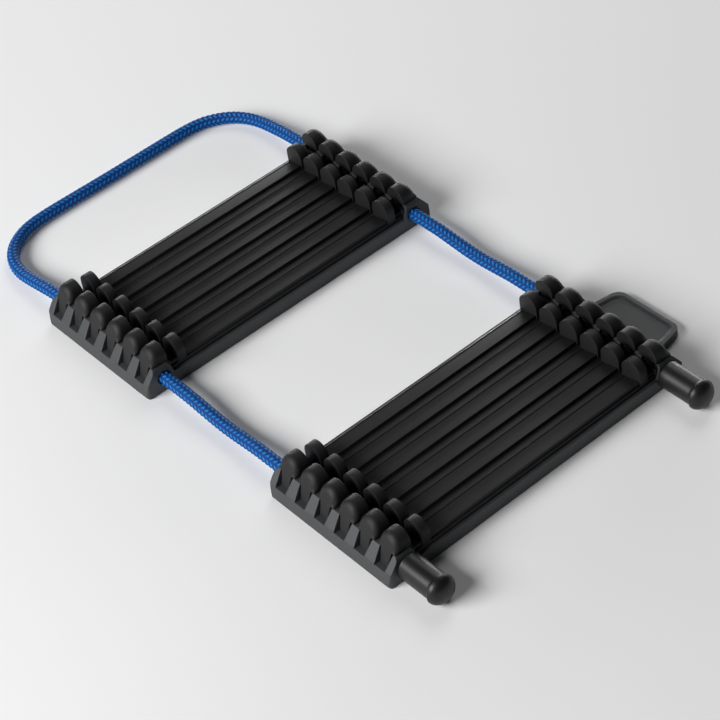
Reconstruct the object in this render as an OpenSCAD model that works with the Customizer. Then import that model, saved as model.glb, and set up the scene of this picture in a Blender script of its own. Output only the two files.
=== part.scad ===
// Pair of clamp pads strung on one elastic cord, for wrapping round a tube.
// Two stiff plates with toothed end rails carry rubber inserts of slats and fingers. The cord runs
// through both rails of each pad, turns back in a free loop and ends in two flanged rubber posts.
// X runs along the cord, Y along the slats and Z up from the plates' flat backs.
// The origin is the middle of the second pad's back. All sizes are millimetres.

/* [Pads] */
// length of a pad along the cord
pad_length = 61.2; // [50:0.2:75]
// width of a pad over its two rails
pad_width = 134; // [110:1:160]
// distance between the middles of the two pads
pad_spacing = 129; // [100:1:160]
// thickness of the stiff plate
plate_t = 5.5; // [4:0.1:7]
// height of the end rails
rail_h = 10.8; // [9:0.1:13]
// radius of the plate's upright corners
corner_r = 1.8; // [0.6:0.2:4]
// radius of the rail's top edge at each end
rail_end_r = 2; // [0.5:0.5:3]

/* [Fingers and slats] */
// number of slats, and of fingers in each row
finger_count = 6; // [4:1:8]
// spacing of the fingers along the cord
finger_pitch = 10; // [8:0.5:12]
// width of a finger along the cord
finger_w = 8.7; // [6:0.1:9.5]
// height of the outer fingers above the back
outer_top = 16.7; // [14:0.1:20]
// height of the inner fingers above the back
inner_top = 15.2; // [12:0.1:18]
// thickness of an inner finger along the slats
inner_t = 3.6; // [2:0.1:5]
// height of the grooves' floor above the back
groove_z = 7; // [6:0.1:8]
// height of a slat's high edge above the back
slat_z = 8.6; // [7:0.1:10]

/* [Cord and posts] */
// diameter of the elastic cord
cord_d = 5; // [4:0.5:8]
// distance of each cord run from the middle of the pads
cord_y = 58.7; // [50:0.1:64]
// height of the cord's runs above the back
cord_z = 5.6; // [5:0.1:7]
// running clearance of the cord in its bore, on the radius
cord_gap = 0.08; // [0.02:0.01:0.1]
// diameter of an end post
post_d = 9.9; // [8:0.1:12]
// diameter of a post's lip
lip_d = 11.1; // [9:0.1:13]
// length of a post
post_length = 18.8; // [12:0.2:30]

/* [Tab] */
// reach of the tab from the middle of its pad
tab_reach = 81; // [70:0.2:95]
// thickness of the tab
tab_t = 2.6; // [1.5:0.1:4]
// width of the tab at its free end
tab_w = 31.2; // [20:0.2:45]

/* [Hidden] */
$fn = 64;

slate = [0.20, 0.22, 0.235];
rubber = [0.10, 0.10, 0.10];
cord_blue = [0.03, 0.30, 0.66];

half_l = pad_length / 2;
half_w = pad_width / 2;
cord_r = cord_d / 2;
bore_r = cord_r + cord_gap;
mouth_r = bore_r + 0.5;
pad_a_x = -pad_spacing;

// the rail's cross-section, measured outwards from the middle of the pad
rail_foot_y = 54.3;
rail_top_y = 56;
rail_skirt = 0.6;
band_y = half_w - 1;
band_z = 5.7;
tooth_y = 62.5;
tooth_z = rail_h - 0.4;
tooth_edge = 0.4;
seat_y = 55.5;
seat_z = 8.8;
seat_half = half_l - 1.1;

// the notches that the outer fingers stand in
notch_y = 61.9;
notch_z = 5.3;
notch_low_w = 5.1;
notch_high_w = 6.5;

// the outer fingers
thumb_y = 55.2;
thumb_arc_r = 3.3;
thumb_corner_r = 2;
nose_y = 64.1;
nose_z = 5.8;
nose_low_w = 3.6;
nose_high_w = 5.2;
brow_y = 61.6;
flank_z = 11.1;
foot_w = 5.2;
nose_lean = atan((nose_y - brow_y) / (outer_top - thumb_arc_r - nose_z));

// the tab: its root inside the rail, the spread of its sides, and the rim round its panel
tab_x = 0.9;
tab_root_y = half_w - 3;
tab_flare = 10;
tab_corner_r = 4.5;
tab_rim = 1.8;
tab_step = 0.6;
tab_panel_depth = 0.4;
tab_panel_y = half_w + 1;

// the rubber sheet and its slats
sheet_half_x = half_l - 1.2;
sheet_half_y = 55.5;
inner_y = 47.4;
wall_t = 1;
wall_z = 9.6;
slat_left = -3.5;
slat_right = 3.7;
lip_foot = 0.1;
lip_low = 0.24;
lip_h = 0.4;
lip_w = 0.5;
lip_back = 0.15;

// the end posts: the depth of the dome, the length over which the sleeve flares to its lip, the
// chamfer at the foot, and the steps of the two curves in degrees
dome_depth = 4;
flare_length = 1.4;
post_chamfer = 0.4;
dome_start = 8;
dome_step = 10.25;
flare_step = 15;

// the cord along its route: straight through the pads, and hanging a little between them
cord_stop = 7;
post_x = half_l + 0.3;
cord_end_x = post_x + post_length - cord_stop;
bend_right_x = -42;
bend_left_x = -87;
loop_x = -162;

// the hanging stretch between the pads: distance along X and height
bend_line = [[-42, 5.6], [-45, 5.55], [-48, 5.35], [-51, 5.1], [-54, 4.85], [-57, 4.6], [-60, 4.4],
    [-63, 4.3], [-66, 4.3], [-69, 4.4], [-72, 4.6], [-75, 4.85], [-78, 5.1], [-81, 5.35], [-84, 5.55],
    [-87, 5.6]];

// the loop's half route, from the first pad's bore round to the middle of the far run
loop_half = [[-162, 58.7, 5.6], [-167, 58.8, 5.4], [-172, 59, 4.9], [-177, 59.2, 4.3], [-182, 59.3, 3.6],
    [-187, 59.2, 3.0], [-191.5, 58.6, 2.7], [-196, 57.2, 2.6], [-200, 54.9, 2.6], [-203.4, 51.8, 2.6],
    [-206, 48.2, 2.6], [-208, 44, 2.6], [-209.2, 39, 2.6], [-209.7, 32, 2.6], [-209.7, 20, 2.6],
    [-209.6, 8, 2.6]];
loop_route = concat([for (p = loop_half) [p.x, -p.y, p.z]],
    [for (i = [len(loop_half) - 1:-1:0]) loop_half[i]]);
ring_sides = 12;

// how far one solid of a sub-part reaches into the next, so that the two are one
bite = 0.2;

// a rectangle about the origin with round corners
module round_rect(size, r) {
    square([size.x - 2 * r, size.y], center = true);
    square([size.x, size.y - 2 * r], center = true);
    for (x = [-1, 1], y = [-1, 1])
        translate([x * (size.x / 2 - r), y * (size.y / 2 - r)])
            circle(r = r);
}

// extrudes an outline drawn in Y and Z along X, both ways from the middle
module along_x(length) {
    rotate([90, 0, 90])
        linear_extrude(length, center = true)
            children();
}

// extrudes an outline drawn in X and Z along Y, from y0 to y1
module along_y(y0, y1) {
    translate([0, y1, 0])
        rotate([90, 0, 0])
            linear_extrude(y1 - y0)
                children();
}

// repeats its child at the far end of the pad and, mirrored, at the near end
module both_ends() {
    children();
    mirror([0, 1, 0])
        children();
}

// repeats its child at each finger's place
module each_finger() {
    for (i = [0:finger_count - 1])
        translate([(i - (finger_count - 1) / 2) * finger_pitch, 0, 0])
            children();
}

// the rail's outline across the pad: an upright band, a face that leans inwards and a flat top
module rail_outline() {
    polygon([[rail_foot_y, 0], [half_w - rail_skirt, 0], [half_w, rail_skirt], [band_y, band_z],
        [tooth_y, tooth_z], [tooth_y - tooth_edge, rail_h], [rail_top_y, rail_h],
        [rail_foot_y, plate_t]]);
}

// the pad's outline from the side, with round top corners
module end_outline() {
    translate([-half_l, 0])
        square([pad_length, rail_h - rail_end_r]);
    translate([rail_end_r - half_l, 0])
        square([pad_length - 2 * rail_end_r, rail_h]);
    for (side = [-1, 1])
        translate([side * (half_l - rail_end_r), rail_h - rail_end_r])
            circle(r = rail_end_r);
}

// a notch's outline from the end of the pad, open at the top
module notch_outline(floor_z) {
    w = notch_low_w + (notch_high_w - notch_low_w) * (floor_z - notch_z) / (rail_h - notch_z);
    polygon([[-w / 2, floor_z], [w / 2, floor_z], [notch_high_w / 2, rail_h + 1],
        [-notch_high_w / 2, rail_h + 1]]);
}

// a stiff plate with a toothed rail at each end, bored for the cord
module plate() {
    color(slate)
        difference() {
            intersection() {
                union() {
                    translate([-half_l, -rail_foot_y - bite, 0])
                        cube([pad_length, 2 * (rail_foot_y + bite), plate_t]);
                    both_ends()
                        along_x(pad_length)
                            rail_outline();
                }
                linear_extrude(rail_h + 1)
                    round_rect([pad_length, pad_width], corner_r);
                along_y(-half_w, half_w)
                    end_outline();
            }
            both_ends()
                rail_cuts();
        }
}

// what is taken out of one rail: the finger notches, their seats, the rubber's wall and the bore
module rail_cuts() {
    each_finger() {
        along_y(notch_y, half_w + 1)
            notch_outline(notch_z);
        along_y(seat_y - bite, notch_y + bite)
            notch_outline(seat_z);
    }
    translate([-seat_half, rail_foot_y - bite, plate_t])
        cube([2 * seat_half, seat_y - rail_foot_y + bite, rail_h]);
    translate([-half_l - 1, cord_y, cord_z])
        rotate([0, 90, 0])
            cylinder(h = pad_length + 2, r = bore_r);
    for (side = [-1, 1])
        translate([side * half_l, cord_y, cord_z])
            rotate([0, 90, 0])
                cylinder(h = 1, r1 = side < 0 ? mouth_r : bore_r, r2 = side < 0 ? bore_r : mouth_r,
                    center = true);
}

// the sheet's cross-section: grooves, and slats that rise to the right from a thin lip
module sheet_outline() {
    slat = [[slat_left, groove_z], [slat_left + lip_foot, groove_z + lip_low],
        [slat_left + lip_w, groove_z + lip_h], [slat_left + lip_w + lip_back, groove_z + lip_back],
        [slat_right, slat_z], [slat_right, groove_z]];
    polygon(concat(
        [[-sheet_half_x, plate_t], [-sheet_half_x, groove_z]],
        [for (i = [0:finger_count - 1], p = slat)
            p + [(i - (finger_count - 1) / 2) * finger_pitch, 0]],
        [[sheet_half_x, groove_z], [sheet_half_x, plate_t]]));
}

// a finger's round-topped outline from the end of the pad
module finger_outline(top, bottom, w) {
    spring = top - w / 2;
    intersection() {
        translate([0, spring])
            circle(r = w / 2);
        translate([-w / 2, spring - bite])
            square([w, w / 2 + bite]);
    }
    translate([-w / 2, bottom])
        square([w, spring - bottom]);
}

// an outer finger: an upright thumb whose nose hangs down into its notch
module thumb() {
    intersection() {
        along_x(finger_w)
            thumb_side();
        along_y(thumb_y, nose_y)
            thumb_front();
        thumb_plan();
    }
    along_y(thumb_y, notch_y)
        translate([-foot_w / 2, seat_z])
            square([foot_w, flank_z - seat_z + bite]);
}

// the thumb from the side
module thumb_side() {
    polygon([[thumb_y, seat_z], [notch_y, seat_z], [notch_y, nose_z], [nose_y, nose_z],
        [brow_y, outer_top - thumb_arc_r], [brow_y - thumb_arc_r, outer_top], [thumb_y, outer_top]]);
    translate([brow_y - thumb_arc_r, outer_top - thumb_arc_r])
        circle(r = thumb_arc_r);
}

// the thumb from the front: its round head, and the nose that narrows downwards
module thumb_front() {
    finger_outline(outer_top, flank_z, finger_w);
    polygon([[-nose_low_w / 2, nose_z], [nose_low_w / 2, nose_z], [nose_high_w / 2, flank_z + bite],
        [-nose_high_w / 2, flank_z + bite]]);
}

// the thumb's upright corners, leaning with its nose and longer each way than the thumb itself
module thumb_plan() {
    translate([0, nose_y, nose_z])
        rotate([nose_lean, 0, 0])
            translate([0, -finger_w, 0])
                linear_extrude(2 * outer_top, center = true)
                    round_rect([finger_w, 2 * finger_w], thumb_corner_r);
}

// the rubber insert: a slatted sheet with two rows of fingers at each end
module insert() {
    color(rubber) {
        along_y(-sheet_half_y + wall_t, sheet_half_y - wall_t)
            sheet_outline();
        both_ends() {
            translate([-sheet_half_x, sheet_half_y - wall_t - bite, plate_t])
                cube([2 * sheet_half_x, wall_t + bite, wall_z - plate_t]);
            each_finger() {
                along_y(inner_y, inner_y + inner_t)
                    finger_outline(inner_top, plate_t + 1, finger_w);
                thumb();
            }
        }
    }
}

// the tab's outline: sides that spread a little towards the rail, and two round corners
module tab_outline(reach, w, r) {
    corner_x = w / 2 - r * cos(tab_flare);
    side_y = reach - r + r * sin(tab_flare);
    root_x = w / 2 + (side_y - tab_root_y) * tan(tab_flare);
    polygon([[-root_x, tab_root_y], [root_x, tab_root_y], [w / 2, side_y], [corner_x, reach - r],
        [corner_x, reach], [-corner_x, reach], [-corner_x, reach - r], [-w / 2, side_y]]);
    for (side = [-1, 1])
        translate([side * corner_x, reach - r])
            circle(r = r);
}

// the flat tab on the second pad's far rail, with a raised rim round a shallow panel
module tab() {
    color(slate)
        translate([tab_x, 0, 0])
            difference() {
                linear_extrude(tab_t)
                    tab_outline(tab_reach, tab_w, tab_corner_r);
                tab_panel(tab_rim, tab_panel_depth / 2);
                tab_panel(tab_rim + tab_step, tab_panel_depth);
            }
}

// one step of the tab's shallow panel, cut to a depth inside a rim
module tab_panel(rim, depth) {
    translate([0, 0, tab_t - depth])
        linear_extrude(tab_t)
            intersection() {
                tab_outline(tab_reach - rim, tab_w - 2 * rim, tab_corner_r - rim / 2);
                translate([-tab_w, tab_panel_y])
                    square([2 * tab_w, tab_reach]);
            }
}

// one end post: a round rubber sleeve that flares to a lip, with a domed end and a blind bore
module end_post() {
    lip_x = post_length - dome_depth;
    flare_x = lip_x - flare_length;
    flare_r = (lip_d - post_d) / 2;
    color(rubber)
        translate([post_x, 0, cord_z])
            rotate([0, 90, 0])
                rotate_extrude()
                    polygon(concat(
                        [[cord_r, 0], [post_d / 2 - post_chamfer, 0], [post_d / 2, post_chamfer]],
                        [for (a = [0:flare_step:90])
                            [lip_d / 2 - flare_r * cos(a), flare_x + flare_length * sin(a)]],
                        [for (a = [dome_start:dome_step:90])
                            [lip_d / 2 * cos(a), lip_x + dome_depth * sin(a)]],
                        [[0, post_length - cord_stop], [cord_r, post_length - cord_stop]]));
}

// a straight stretch of cord between two places along X, on the far side or the near one
module cord_length(side, x0, x1) {
    color(cord_blue)
        translate([x0, side * cord_y, cord_z])
            rotate([0, 90, 0])
                cylinder(h = x1 - x0, r = cord_r);
}

function unit(v) = v / norm(v);
// the direction of the route at its point i
function heading(path, i) =
    i == 0 ? [sign(path[1].x - path[0].x), 0, 0] :
    i == len(path) - 1 ? [sign(path[i].x - path[i - 1].x), 0, 0] :
    unit(path[i + 1] - path[i - 1]);
// a ring of points about the route's point i, square to the heading
function ring(path, i, r) =
    let (t = heading(path, i), side = unit(cross([0, 0, 1], t)), up = cross(t, side))
    [for (k = [0:ring_sides - 1]) path[i] + r * (cos(k * 360 / ring_sides) * side
        + sin(k * 360 / ring_sides) * up)];

// a round tube swept along a route
module tube(path, r) {
    n = len(path);
    polyhedron(
        points = [for (i = [0:n - 1]) each ring(path, i, r)],
        faces = concat(
            [[for (k = [0:ring_sides - 1]) k]],
            [for (i = [0:n - 2], k = [0:ring_sides - 1])
                [i * ring_sides + k, (i + 1) * ring_sides + k,
                    (i + 1) * ring_sides + (k + 1) % ring_sides, i * ring_sides + (k + 1) % ring_sides]],
            [[for (k = [ring_sides - 1:-1:0]) (n - 1) * ring_sides + k]]),
        convexity = 6);
}

module pad_b_plate() {
    plate();
    tab();
}

module pad_a_plate() {
    translate([pad_a_x, 0, 0])
        plate();
}

module pad_b_rubber() {
    insert();
}

module pad_a_rubber() {
    translate([pad_a_x, 0, 0])
        insert();
}

module end_post_near() {
    translate([0, -cord_y, 0])
        end_post();
}

module end_post_far() {
    translate([0, cord_y, 0])
        end_post();
}

module cord_run_near() {
    cord_length(-1, bend_right_x, cord_end_x);
}

module cord_run_far() {
    cord_length(1, bend_right_x, cord_end_x);
}

module cord_bend_near() {
    color(cord_blue)
        tube([for (p = bend_line) [p.x, -cord_y, p.y]], cord_r);
}

module cord_bend_far() {
    color(cord_blue)
        tube([for (p = bend_line) [p.x, cord_y, p.y]], cord_r);
}

module cord_mid_near() {
    cord_length(-1, loop_x, bend_left_x);
}

module cord_mid_far() {
    cord_length(1, loop_x, bend_left_x);
}

module cord_loop() {
    color(cord_blue)
        tube(loop_route, cord_r);
}

pad_b_plate();
pad_b_rubber();
pad_a_plate();
pad_a_rubber();
end_post_near();
end_post_far();
cord_run_near();
cord_run_far();
cord_bend_near();
cord_bend_far();
cord_mid_near();
cord_mid_far();
cord_loop();
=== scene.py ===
import math
import bpy
import numpy as np
from mathutils import Matrix, Quaternion, Vector


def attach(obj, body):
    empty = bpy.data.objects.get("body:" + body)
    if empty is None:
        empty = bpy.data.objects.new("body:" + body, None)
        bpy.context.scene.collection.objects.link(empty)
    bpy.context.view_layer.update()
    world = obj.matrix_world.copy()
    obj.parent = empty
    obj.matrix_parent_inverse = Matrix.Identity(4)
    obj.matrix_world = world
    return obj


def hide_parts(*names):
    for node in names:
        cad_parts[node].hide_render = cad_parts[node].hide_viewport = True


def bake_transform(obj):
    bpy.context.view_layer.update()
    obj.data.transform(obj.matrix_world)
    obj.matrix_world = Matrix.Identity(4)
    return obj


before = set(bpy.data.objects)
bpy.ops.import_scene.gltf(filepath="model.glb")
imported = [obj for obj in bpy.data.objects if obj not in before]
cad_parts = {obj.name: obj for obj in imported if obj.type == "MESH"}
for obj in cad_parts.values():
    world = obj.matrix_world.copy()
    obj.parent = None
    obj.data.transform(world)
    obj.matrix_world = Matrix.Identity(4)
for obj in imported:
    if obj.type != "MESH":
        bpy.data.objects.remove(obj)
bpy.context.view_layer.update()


# The camera stands over the second pad's near post and looks down across both pads at the loop.
# It is a long lens from arm's length, tipped a little to one side.
camera_data = bpy.data.cameras.new("camera")
camera_data.sensor_width = 36
camera_data.lens = 118.6
camera_data.clip_start = 0.05
camera = bpy.data.objects.new("camera", camera_data)
bpy.context.collection.objects.link(camera)
camera.location = (0.4508, -0.3481, 0.5604)
looks_at = Vector((-0.0582, -0.0034, 0.0001))
tip = Quaternion((0, 0, 1), math.radians(-9.78))
aim = (looks_at - camera.location).to_track_quat("-Z", "Y")
camera.rotation_euler = (aim @ tip).to_euler()
bpy.context.scene.camera = camera


# The cord: one length of 5 mm elastic in a braided polyester sheath. It starts in the near post,
# runs through both pads, turns back in a loop that comes down to the floor, and ends in the far
# post. The pads' bores hold it, and the posts are pushed on its ends.
cord_d = 0.005
run_y = 0.0587
run_z = 0.0056
end_x = 0.0421

# Half of the loop, from the first pad's far rail to the loop's middle.
loop_half = [(-0.162, 0.0587, 0.0056), (-0.167, 0.0588, 0.0054), (-0.172, 0.059, 0.0049),
             (-0.177, 0.0592, 0.0043), (-0.182, 0.0593, 0.0036), (-0.187, 0.0592, 0.0030),
             (-0.1915, 0.0586, 0.0027), (-0.196, 0.0572, 0.0026), (-0.200, 0.0549, 0.0026),
             (-0.2034, 0.0518, 0.0026), (-0.206, 0.0482, 0.0026), (-0.208, 0.044, 0.0026),
             (-0.2092, 0.039, 0.0026), (-0.2097, 0.032, 0.0026), (-0.2097, 0.020, 0.0026),
             (-0.2096, 0.008, 0.0026)]

# Between the pads the cord hangs a little. In the pads' rails it is straight.
bend_line = [(-0.042, 0.0056), (-0.045, 0.00555), (-0.048, 0.00535), (-0.051, 0.0051),
             (-0.054, 0.00485), (-0.057, 0.0046), (-0.060, 0.0044), (-0.063, 0.0043),
             (-0.066, 0.0043), (-0.069, 0.0044), (-0.072, 0.0046), (-0.075, 0.00485),
             (-0.078, 0.0051), (-0.081, 0.00535), (-0.084, 0.00555), (-0.087, 0.0056)]
run_line = [(x, run_z) for x in (end_x, 0.030, 0.015, 0, -0.015, -0.030, -0.036)] + bend_line
run_line += [(x, run_z) for x in (-0.093, -0.100, -0.115, -0.130, -0.145, -0.157)]
near_run = [(x, -run_y, z) for x, z in run_line]
near_loop = [(x, -y, z) for x, y, z in loop_half]
far_loop = loop_half[::-1]
far_run = [(x, run_y, z) for x, z in run_line[::-1]]
route = np.array(near_run + near_loop + far_loop + far_run)


def smooth_route(points, step):
    """Points a step apart on a smooth curve through the route, and how far along each one is."""
    part_of_span = 0.05
    ends = np.vstack([2 * points[0] - points[1], points, 2 * points[-1] - points[-2]])
    dense = []
    for a, b, c, d in zip(ends, ends[1:], ends[2:], ends[3:]):
        for t in np.arange(0, 1, part_of_span):
            dense.append(0.5 * (2 * b + (c - a) * t + (2 * a - 5 * b + 4 * c - d) * t ** 2
                                + (3 * b - a - 3 * c + d) * t ** 3))
    dense = np.array(dense + [points[-1]])
    along = np.concatenate([[0], np.cumsum(np.linalg.norm(np.diff(dense, axis=0), axis=1))])
    at = np.linspace(0, along[-1], int(along[-1] / step) + 1)
    return np.stack([np.interp(at, along, dense[:, k]) for k in range(3)], axis=1), at


# The sheath's stitches stand in eight columns round the cord. Each is a short float of yarn that
# leans one way in the even columns and the other way in the odd ones.
stitch_columns = 8
stitch_pitch = 0.0020
stitch_lean = math.radians(42)
stitch_long = 0.00125
stitch_wide = 0.00058
stitch_rise = 0.00030


def stitch_height(around, along):
    """How high the sheath's yarns stand at a place on the cord, from 0 in a gap to 1 on a float."""
    best = np.zeros(np.broadcast(around, along).shape)
    column_width = math.pi * cord_d / stitch_columns
    for column in range(-1, stitch_columns + 1):
        lean = stitch_lean if column % 2 == 0 else -stitch_lean
        first = 0.5 * stitch_pitch if column % 2 else 0.0
        across = around - (column + 0.5) * column_width
        for near in (-1, 0, 1):
            middle = (np.round((along - first) / stitch_pitch) + near) * stitch_pitch + first
            down = along - middle
            length = (down * math.cos(lean) + across * math.sin(lean)) / stitch_long
            width = (across * math.cos(lean) - down * math.sin(lean)) / stitch_wide
            best = np.maximum(best, 1 - length ** 2 - width ** 2)
    return np.sqrt(np.clip(best, 0, 1))


def braided_cord(name, line, along):
    """A closed tube along the line, with every float of the braid raised on its surface."""
    sides = 64
    rings = len(line)
    heading = np.gradient(line, axis=0)
    heading /= np.linalg.norm(heading, axis=1)[:, None]
    side = np.cross((0, 0, 1), heading)
    side /= np.linalg.norm(side, axis=1)[:, None]
    up = np.cross(heading, side)
    angle = np.arange(sides) * 2 * math.pi / sides
    height = stitch_height((angle * cord_d / 2)[None, :], along[:, None])
    radius = cord_d / 2 - stitch_rise * (1 - height)
    ring = np.cos(angle)[None, :, None] * side[:, None, :]
    ring = ring + np.sin(angle)[None, :, None] * up[:, None, :]
    body = (line[:, None, :] + radius[:, :, None] * ring).reshape(-1, 3)
    points = np.vstack([body, line[0], line[-1]])
    i, k = np.meshgrid(np.arange(rings - 1), np.arange(sides), indexing="ij")
    k_next = (k + 1) % sides
    this_ring, next_ring = i * sides, (i + 1) * sides
    corners = [this_ring + k, this_ring + k_next, next_ring + k_next, next_ring + k]
    quads = np.stack(corners, axis=-1).reshape(-1, 4)
    start, finish = rings * sides, rings * sides + 1
    last = (rings - 1) * sides
    caps = [(start, (j + 1) % sides, j) for j in range(sides)]
    caps += [(finish, last + j, last + (j + 1) % sides) for j in range(sides)]
    mesh = bpy.data.meshes.new(name)
    mesh.from_pydata(points.tolist(), [], quads.tolist() + caps)
    # The crown, the floats' height squared, sets where the sheath's colour paints shade in the gaps
    # and a highlight on the floats.
    crown = mesh.attributes.new("crown", "FLOAT", "POINT")
    crown_values = np.concatenate([height.ravel() ** 2, [0, 0]])
    crown.data.foreach_set("value", crown_values.astype(np.float32))
    mesh.polygons.foreach_set("use_smooth", [True] * len(mesh.polygons))
    piece = bpy.data.objects.new(name, mesh)
    bpy.context.collection.objects.link(piece)
    return piece


# The sheath is royal blue yarn. Its colour has painted shade, deep in the gaps, and a painted
# highlight, paler where the floats' filaments shine.
def cord_material():
    # The gap colour is painted shade and the float colour a painted highlight on the yarn's own
    # blue.
    gap_shade_blue = (0.0, 0.036, 0.170, 1)
    yarn_blue = (0.0, 0.090, 0.370, 1)
    float_highlight_blue = (0.012, 0.230, 0.560, 1)
    material = bpy.data.materials.new("cord_sheath")
    material.use_nodes = True
    nodes, links = material.node_tree.nodes, material.node_tree.links
    shader = nodes["Principled BSDF"]
    crown = nodes.new("ShaderNodeAttribute")
    crown.attribute_name = "crown"
    shade = nodes.new("ShaderNodeValToRGB")
    stops = shade.color_ramp.elements
    stops[0].color, stops[0].position = gap_shade_blue, 0.05
    stops[1].color = float_highlight_blue
    stops.new(0.55).color = yarn_blue
    links.new(crown.outputs["Fac"], shade.inputs["Fac"])
    links.new(shade.outputs["Color"], shader.inputs["Base Color"])
    shader.inputs["Roughness"].default_value = 0.6
    shader.inputs["Specular IOR Level"].default_value = 0.2
    return material


# The braid is made in three stretches that meet inside the first pad's rails, where no seam shows.
sheath = cord_material()
ring_step = 0.00025
line, along = smooth_route(route, ring_step)
seam_x = -0.130
middle = len(line) // 2
near_seam = int(np.argmin(np.abs(line[:middle, 0] - seam_x)))
far_seam = middle + int(np.argmin(np.abs(line[middle:, 0] - seam_x)))
for name, first, last in (("cord_near", 0, near_seam), ("cord_around", near_seam, far_seam),
                          ("cord_far", far_seam, len(line) - 1)):
    stretch = slice(first, last + 1)
    piece = braided_cord(name, line[stretch], along[stretch])
    piece.data.materials.append(sheath)
    if name == "cord_around":
        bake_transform(piece)
        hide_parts("cord_loop")
    else:
        side = name.split("_")[1]
        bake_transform(piece)
        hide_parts(f"cord_run_{side}", f"cord_bend_{side}", f"cord_mid_{side}")


# Both plastics share a moulded surface: a fine spark-eroded grain and slow patches where the colour
# and the sheen vary a little, as the mould's polish does.
def moulded_surface():
    patch_scale = 90
    darkest, palest = 0.85, 1.15
    group = bpy.data.node_groups.new("moulded_surface", "ShaderNodeTree")
    face = group.interface
    face.new_socket("Colour", in_out="INPUT", socket_type="NodeSocketColor")
    for name in ("Grain Size", "Grain Depth", "Sheen Low", "Sheen High"):
        face.new_socket(name, in_out="INPUT", socket_type="NodeSocketFloat")
    face.new_socket("Colour", in_out="OUTPUT", socket_type="NodeSocketColor")
    face.new_socket("Roughness", in_out="OUTPUT", socket_type="NodeSocketFloat")
    face.new_socket("Height", in_out="OUTPUT", socket_type="NodeSocketFloat")
    nodes, links = group.nodes, group.links
    given = nodes.new("NodeGroupInput")
    result = nodes.new("NodeGroupOutput")
    place = nodes.new("ShaderNodeTexCoord")
    grain = nodes.new("ShaderNodeTexNoise")
    grain.inputs["Detail"].default_value = 2
    links.new(place.outputs["Object"], grain.inputs["Vector"])
    links.new(given.outputs["Grain Size"], grain.inputs["Scale"])
    patches = nodes.new("ShaderNodeTexNoise")
    patches.inputs["Scale"].default_value = patch_scale
    patches.inputs["Detail"].default_value = 3
    links.new(place.outputs["Object"], patches.inputs["Vector"])
    sheen = nodes.new("ShaderNodeMapRange")
    links.new(patches.outputs["Fac"], sheen.inputs["Value"])
    links.new(given.outputs["Sheen Low"], sheen.inputs["To Min"])
    links.new(given.outputs["Sheen High"], sheen.inputs["To Max"])
    links.new(sheen.outputs["Result"], result.inputs["Roughness"])
    depth = nodes.new("ShaderNodeMath")
    depth.operation = "MULTIPLY"
    links.new(grain.outputs["Fac"], depth.inputs[0])
    links.new(given.outputs["Grain Depth"], depth.inputs[1])
    links.new(depth.outputs[0], result.inputs["Height"])
    tone = nodes.new("ShaderNodeMapRange")
    tone.inputs["To Min"].default_value = darkest
    tone.inputs["To Max"].default_value = palest
    links.new(patches.outputs["Fac"], tone.inputs["Value"])
    tint = nodes.new("ShaderNodeVectorMath")
    tint.operation = "SCALE"
    links.new(given.outputs["Colour"], tint.inputs[0])
    links.new(tone.outputs["Result"], tint.inputs["Scale"])
    links.new(tint.outputs["Vector"], result.inputs["Colour"])
    return group


moulded = moulded_surface()


def moulded_material(name, colour, grain_size, grain_depth, sheen, edge_radius, shine):
    """A moulded plastic or rubber: colour, grain, range of roughness, edge radius and shine."""
    material = bpy.data.materials.new(name)
    material.use_nodes = True
    nodes, links = material.node_tree.nodes, material.node_tree.links
    shader = nodes["Principled BSDF"]
    surface = nodes.new("ShaderNodeGroup")
    surface.node_tree = moulded
    surface.inputs["Colour"].default_value = (*colour, 1)
    surface.inputs["Grain Size"].default_value = grain_size
    surface.inputs["Grain Depth"].default_value = grain_depth
    surface.inputs["Sheen Low"].default_value = sheen[0]
    surface.inputs["Sheen High"].default_value = sheen[1]
    bump = nodes.new("ShaderNodeBump")
    bump.inputs["Distance"].default_value = 1.0
    bump.inputs["Strength"].default_value = 1.0
    links.new(surface.outputs["Height"], bump.inputs["Height"])
    if edge_radius:
        edge = nodes.new("ShaderNodeBevel")
        edge.samples = 6
        edge.inputs["Radius"].default_value = edge_radius
        links.new(edge.outputs["Normal"], bump.inputs["Normal"])
    links.new(surface.outputs["Colour"], shader.inputs["Base Color"])
    links.new(surface.outputs["Roughness"], shader.inputs["Roughness"])
    links.new(bump.outputs["Normal"], shader.inputs["Normal"])
    shader.inputs["Specular IOR Level"].default_value = shine
    return material


def dress(node_name, material):
    """Gives a CAD part its material."""
    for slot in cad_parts[node_name].material_slots:
        slot.link = "OBJECT"
        slot.material = material


# The plates: stiff glass-filled nylon in dark slate grey, each moulded in one piece with its two
# toothed rails. The second pad's plate has the tab too. The cord's bores run through the rails.
plate_plastic = moulded_material("plate_plastic", (0.036, 0.0395, 0.043),
                                 grain_size=2600, grain_depth=0.000016, sheen=(0.46, 0.58),
                                 edge_radius=0.0006, shine=0.5)
dress("pad_a_plate", plate_plastic)
dress("pad_b_plate", plate_plastic)


# The inserts: soft black rubber, each one moulding that lies in its plate. A sheet of sawtooth
# slats runs from rail to rail, with a row of thin fingers at each end. A wall links it to the outer
# fingers, which stand on the rail with their noses in its notches. The lips are glossier.
rubber_black = (0.0105, 0.0105, 0.0108)
insert_rubber = moulded_material("insert_rubber", rubber_black,
                                 grain_size=2200, grain_depth=0.000018, sheen=(0.52, 0.64),
                                 edge_radius=0, shine=0.32)
lip_rubber = moulded_material("lip_rubber", rubber_black,
                              grain_size=2200, grain_depth=0, sheen=(0.22, 0.30),
                              edge_radius=0, shine=0.6)
finger_pitch = 0.010
finger_w = 0.0087
finger_places = [(i - 2.5) * finger_pitch for i in range(6)]
hair = 0.00001
pad_middles = {"a": -0.129, "b": 0.0}


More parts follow.
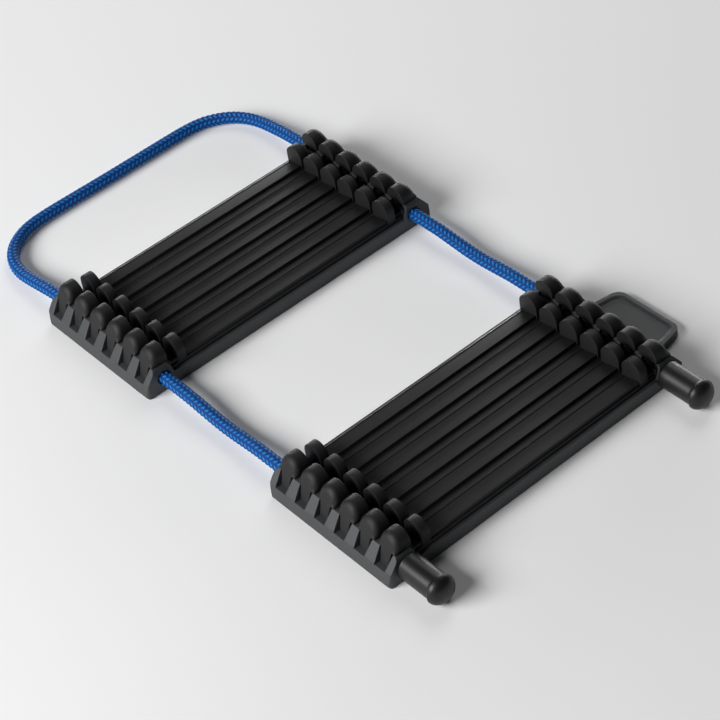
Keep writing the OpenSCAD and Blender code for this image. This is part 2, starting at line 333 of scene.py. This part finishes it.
def pick(piece, chosen):
    """Enters edit mode with only the vertices selected that a test picks."""
    bpy.ops.object.mode_set(mode="EDIT")
    bpy.ops.mesh.select_mode(type="VERT")
    bpy.ops.mesh.select_all(action="DESELECT")
    bpy.ops.object.mode_set(mode="OBJECT")
    for vertex in piece.data.vertices:
        vertex.select = chosen(vertex.co)
    bpy.ops.object.mode_set(mode="EDIT")


def finish_with(piece, kind, **settings):
    """Adds a modifier to the piece and applies it."""
    bpy.context.view_layer.objects.active = piece
    modifier = piece.modifiers.new(kind.lower(), kind)
    for name, value in settings.items():
        setattr(modifier, name, value)
    bpy.ops.object.modifier_apply(modifier=modifier.name)


def slice_off(place, outwards):
    """Cuts all of the mesh flat at a plane and throws away what is outside it."""
    bpy.ops.mesh.select_all(action="SELECT")
    bpy.ops.mesh.bisect(plane_co=place, plane_no=outwards, use_fill=True, clear_outer=True)


def drum_finger(name, top, foot, inner, outer):
    """A finger that is a lying drum on top and goes straight down to its foot."""
    spring = top - finger_w / 2
    bpy.ops.mesh.primitive_cylinder_add(vertices=48, radius=finger_w / 2, depth=outer - inner,
                                        location=(0, (inner + outer) / 2, spring),
                                        rotation=(math.pi / 2, 0, 0))
    finger = bpy.context.active_object
    finger.name = name
    bpy.ops.object.transform_apply(location=True, rotation=True, scale=True)
    pick(finger, lambda place: place.z < spring - hair)
    bpy.ops.transform.resize(value=(1, 1, 0), center_override=(0, 0, foot))
    bpy.ops.object.mode_set(mode="OBJECT")
    return finger


# An inner finger is a plain upright drum with a small mould radius on its edges.
inner_finger = drum_finger("inner_finger", top=0.0152, foot=0.0062, inner=0.0474, outer=0.0510)
finish_with(inner_finger, "BEVEL", width=0.0004, segments=3, limit_method="ANGLE", angle_limit=0.7)

# An outer finger is a deeper drum with a leaning front face, and a broad radius rolls from the face
# over to the drum all the way round. A narrow nose goes on below, down into the rail's notch.
face_lean = 0.318
face_place = Vector((0, 0.06145, 0.0138))
face_out = Vector((0, math.cos(face_lean), math.sin(face_lean)))
finger_foot = 0.0111
outer_finger = drum_finger("outer_finger", top=0.0168, foot=finger_foot, inner=0.0552, outer=0.0655)
bpy.ops.object.mode_set(mode="EDIT")
slice_off(face_place, face_out)
bpy.ops.mesh.select_mode(type="EDGE")
bpy.ops.mesh.select_all(action="DESELECT")
bpy.ops.object.mode_set(mode="OBJECT")
for edge in outer_finger.data.edges:
    ends = [outer_finger.data.vertices[v].co for v in edge.vertices]
    on_face = all(abs((end - face_place).dot(face_out)) < hair for end in ends)
    edge.select = on_face and max(end.z for end in ends) > finger_foot + 10 * hair
bpy.ops.object.mode_set(mode="EDIT")
bpy.ops.mesh.bevel(offset=0.0021, segments=8, affect="EDGES")
bpy.ops.object.mode_set(mode="OBJECT")
nose_middle = (0, 0.0636, 0.0086)
nose_size = (0.0052, 0.0034, 0.0056)
nose_foot = 0.0058
nose_taper = 0.7
bpy.ops.mesh.primitive_cube_add(size=1, location=nose_middle, scale=nose_size)
nose = bpy.context.active_object
bpy.ops.object.transform_apply(location=True, rotation=True, scale=True)
pick(nose, lambda place: place.z < nose_middle[2])
bpy.ops.transform.resize(value=(nose_taper, 1, 1), center_override=(0, nose_middle[1], nose_foot))
slice_off(face_place, face_out)
bpy.ops.object.mode_set(mode="OBJECT")
bpy.ops.object.select_all(action="DESELECT")
nose.select_set(True)
outer_finger.select_set(True)
bpy.context.view_layer.objects.active = outer_finger
bpy.ops.object.join()
finish_with(outer_finger, "REMESH", mode="VOXEL", voxel_size=0.00015)
finish_with(outer_finger, "SMOOTH", factor=0.5, iterations=12)
finish_with(outer_finger, "DECIMATE", ratio=0.14)

# The slats' cross-section: from a low lip on the loop's side each slat rises towards the posts,
# drops to the groove's floor, and the next begins. It is pulled from one end wall to the other.
sheet_x, sheet_y, sheet_back = 0.0294, 0.0545, 0.0055
slat_left, slat_right = -0.0035, 0.0037
groove_z, slat_z = 0.0070, 0.0086
lip_steps = ((0, 0), (0.0001, 0.00024), (0.0005, 0.0004), (0.00065, 0.00015))
outline = [(-sheet_x, sheet_back), (-sheet_x, groove_z)]
for middle_x in finger_places:
    outline += [(middle_x + slat_left + over, groove_z + up) for over, up in lip_steps]
    outline += [(middle_x + slat_right, slat_z), (middle_x + slat_right, groove_z)]
outline += [(sheet_x, groove_z), (sheet_x, sheet_back)]
sheet_mesh = bpy.data.meshes.new("slats")
sheet_mesh.from_pydata([(x, -sheet_y, z) for x, z in outline], [], [tuple(range(len(outline)))])
slats = bpy.data.objects.new("slats", sheet_mesh)
bpy.context.collection.objects.link(slats)
bpy.ops.object.select_all(action="DESELECT")
slats.select_set(True)
bpy.context.view_layer.objects.active = slats
bpy.ops.object.mode_set(mode="EDIT")
bpy.ops.mesh.select_all(action="SELECT")
bpy.ops.mesh.extrude_region_move(TRANSFORM_OT_translate={"value": (0, 2 * sheet_y, 0)})
bpy.ops.mesh.select_all(action="SELECT")
bpy.ops.mesh.normals_make_consistent(inside=False)
bpy.ops.object.mode_set(mode="OBJECT")
finish_with(slats, "BEVEL", width=0.00008, segments=2, limit_method="ANGLE", angle_limit=0.5)

# The wall stands against the rail's foot at each end of the sheet.
wall_middle = (0, 0.0549, 0.00755)
wall_size = (2 * sheet_x, 0.0012, 0.0041)
bpy.ops.mesh.primitive_cube_add(size=1, location=wall_middle, scale=wall_size)
wall = bpy.context.active_object
bpy.ops.object.transform_apply(location=True, rotation=True, scale=True)
finish_with(wall, "BEVEL", width=0.0003, segments=2, limit_method="ANGLE", angle_limit=0.5)


def copy_to(piece, x, far):
    """A copy of the piece at a place along the pads, at the far end or mirrored to the near end."""
    mesh = piece.data.copy()
    place = Matrix.Translation((x, 0, 0)) @ Matrix.Diagonal((1, 1 if far else -1, 1, 1))
    mesh.transform(place)
    if not far:
        mesh.flip_normals()
    copied = bpy.data.objects.new(piece.name, mesh)
    bpy.context.collection.objects.link(copied)
    return copied


for pad, middle_x in pad_middles.items():
    parts = [copy_to(slats, middle_x, True)]
    for far in (True, False):
        parts.append(copy_to(wall, middle_x, far))
        for x in finger_places:
            parts.append(copy_to(inner_finger, middle_x + x, far))
            parts.append(copy_to(outer_finger, middle_x + x, far))
    bpy.ops.object.select_all(action="DESELECT")
    for part in parts:
        part.select_set(True)
    bpy.context.view_layer.objects.active = parts[0]
    bpy.ops.object.join()
    insert = parts[0]
    insert.name = f"insert_{pad}"
    insert.data.materials.clear()
    insert.data.materials.append(insert_rubber)
    insert.data.materials.append(lip_rubber)
    for face in insert.data.polygons:
        low = groove_z + 0.0001 < face.center.z < groove_z + 0.00044
        slopes = -0.6 < face.normal.x < -0.2 and face.normal.z > 0.7
        face.material_index = 1 if low and slopes else 0
    bpy.ops.object.shade_smooth_by_angle(angle=0.6)
    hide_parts(f"pad_{pad}_rubber")
    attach(insert, f"pad_{pad}")
for pattern in (inner_finger, outer_finger, slats, wall):
    bpy.data.objects.remove(pattern)


# The end posts: round sleeves of the same rubber from a polished mould, with a flared lip that the
# loop hooks behind and a domed end. Each is pushed 12 mm over an end of the cord.
post_rubber = moulded_material("post_rubber", (0.0085, 0.0085, 0.0088),
                               grain_size=3000, grain_depth=0.000006, sheen=(0.36, 0.46),
                               edge_radius=0.0003, shine=0.4)
dress("end_post_near", post_rubber)
dress("end_post_far", post_rubber)


# The studio: a sheet of pale matt paper for a floor. The object lies on it.
bpy.ops.mesh.primitive_plane_add(size=6, location=(0, 0, -0.0002))
floor = bpy.context.active_object
floor.name = "floor"
paper = bpy.data.materials.new("floor_paper")
paper.use_nodes = True
paper_shader = paper.node_tree.nodes["Principled BSDF"]
paper_shader.inputs["Base Color"].default_value = (0.9, 0.9, 0.9, 1)
paper_shader.inputs["Roughness"].default_value = 0.9
floor.data.materials.append(paper)


# The large soft box on the near side gives most of the light. Two long low ones, on the loop's side
# and behind, draw the edges, and a faint one overhead lifts the slats.
def soft_light(name, place, width, height, watts):
    """A soft box that faces the middle of the object."""
    data = bpy.data.lights.new(name, "AREA")
    data.shape = "RECTANGLE"
    data.size = width
    data.size_y = height
    data.energy = watts
    lamp = bpy.data.objects.new(name, data)
    bpy.context.collection.objects.link(lamp)
    lamp.location = place
    middle = Vector((-0.08, 0, 0))
    lamp.rotation_euler = (middle - lamp.location).to_track_quat("-Z", "Y").to_euler()


soft_light("near_side", (-0.25, -1.15, 0.72), 1.1, 0.6, 25)
soft_light("left", (-1.25, 0.45, 0.10), 0.8, 0.18, 5)
soft_light("behind", (-0.75, 1.05, 0.12), 1.0, 0.2, 7)
soft_light("overhead", (-0.55, 0.75, 0.95), 0.7, 0.7, 3.5)

# The room's own light is white near the floor and falls to a dim grey overhead.
horizon_light, overhead_light = 1.1, 0.32
fade_height = 0.35
world = bpy.data.worlds.new("studio")
world.use_nodes = True
room_nodes, room_links = world.node_tree.nodes, world.node_tree.links
way = room_nodes.new("ShaderNodeTexCoord")
way_up = room_nodes.new("ShaderNodeSeparateXYZ")
room_links.new(way.outputs["Generated"], way_up.inputs["Vector"])
fade = room_nodes.new("ShaderNodeMapRange")
fade.inputs["From Min"].default_value = 0.0
fade.inputs["From Max"].default_value = fade_height
fade.inputs["To Min"].default_value = horizon_light
fade.inputs["To Max"].default_value = overhead_light
room_links.new(way_up.outputs["Z"], fade.inputs["Value"])
room_links.new(fade.outputs["Result"], room_nodes["Background"].inputs["Strength"])
bpy.context.scene.world = world
bpy.context.scene.view_settings.view_transform = "Standard"
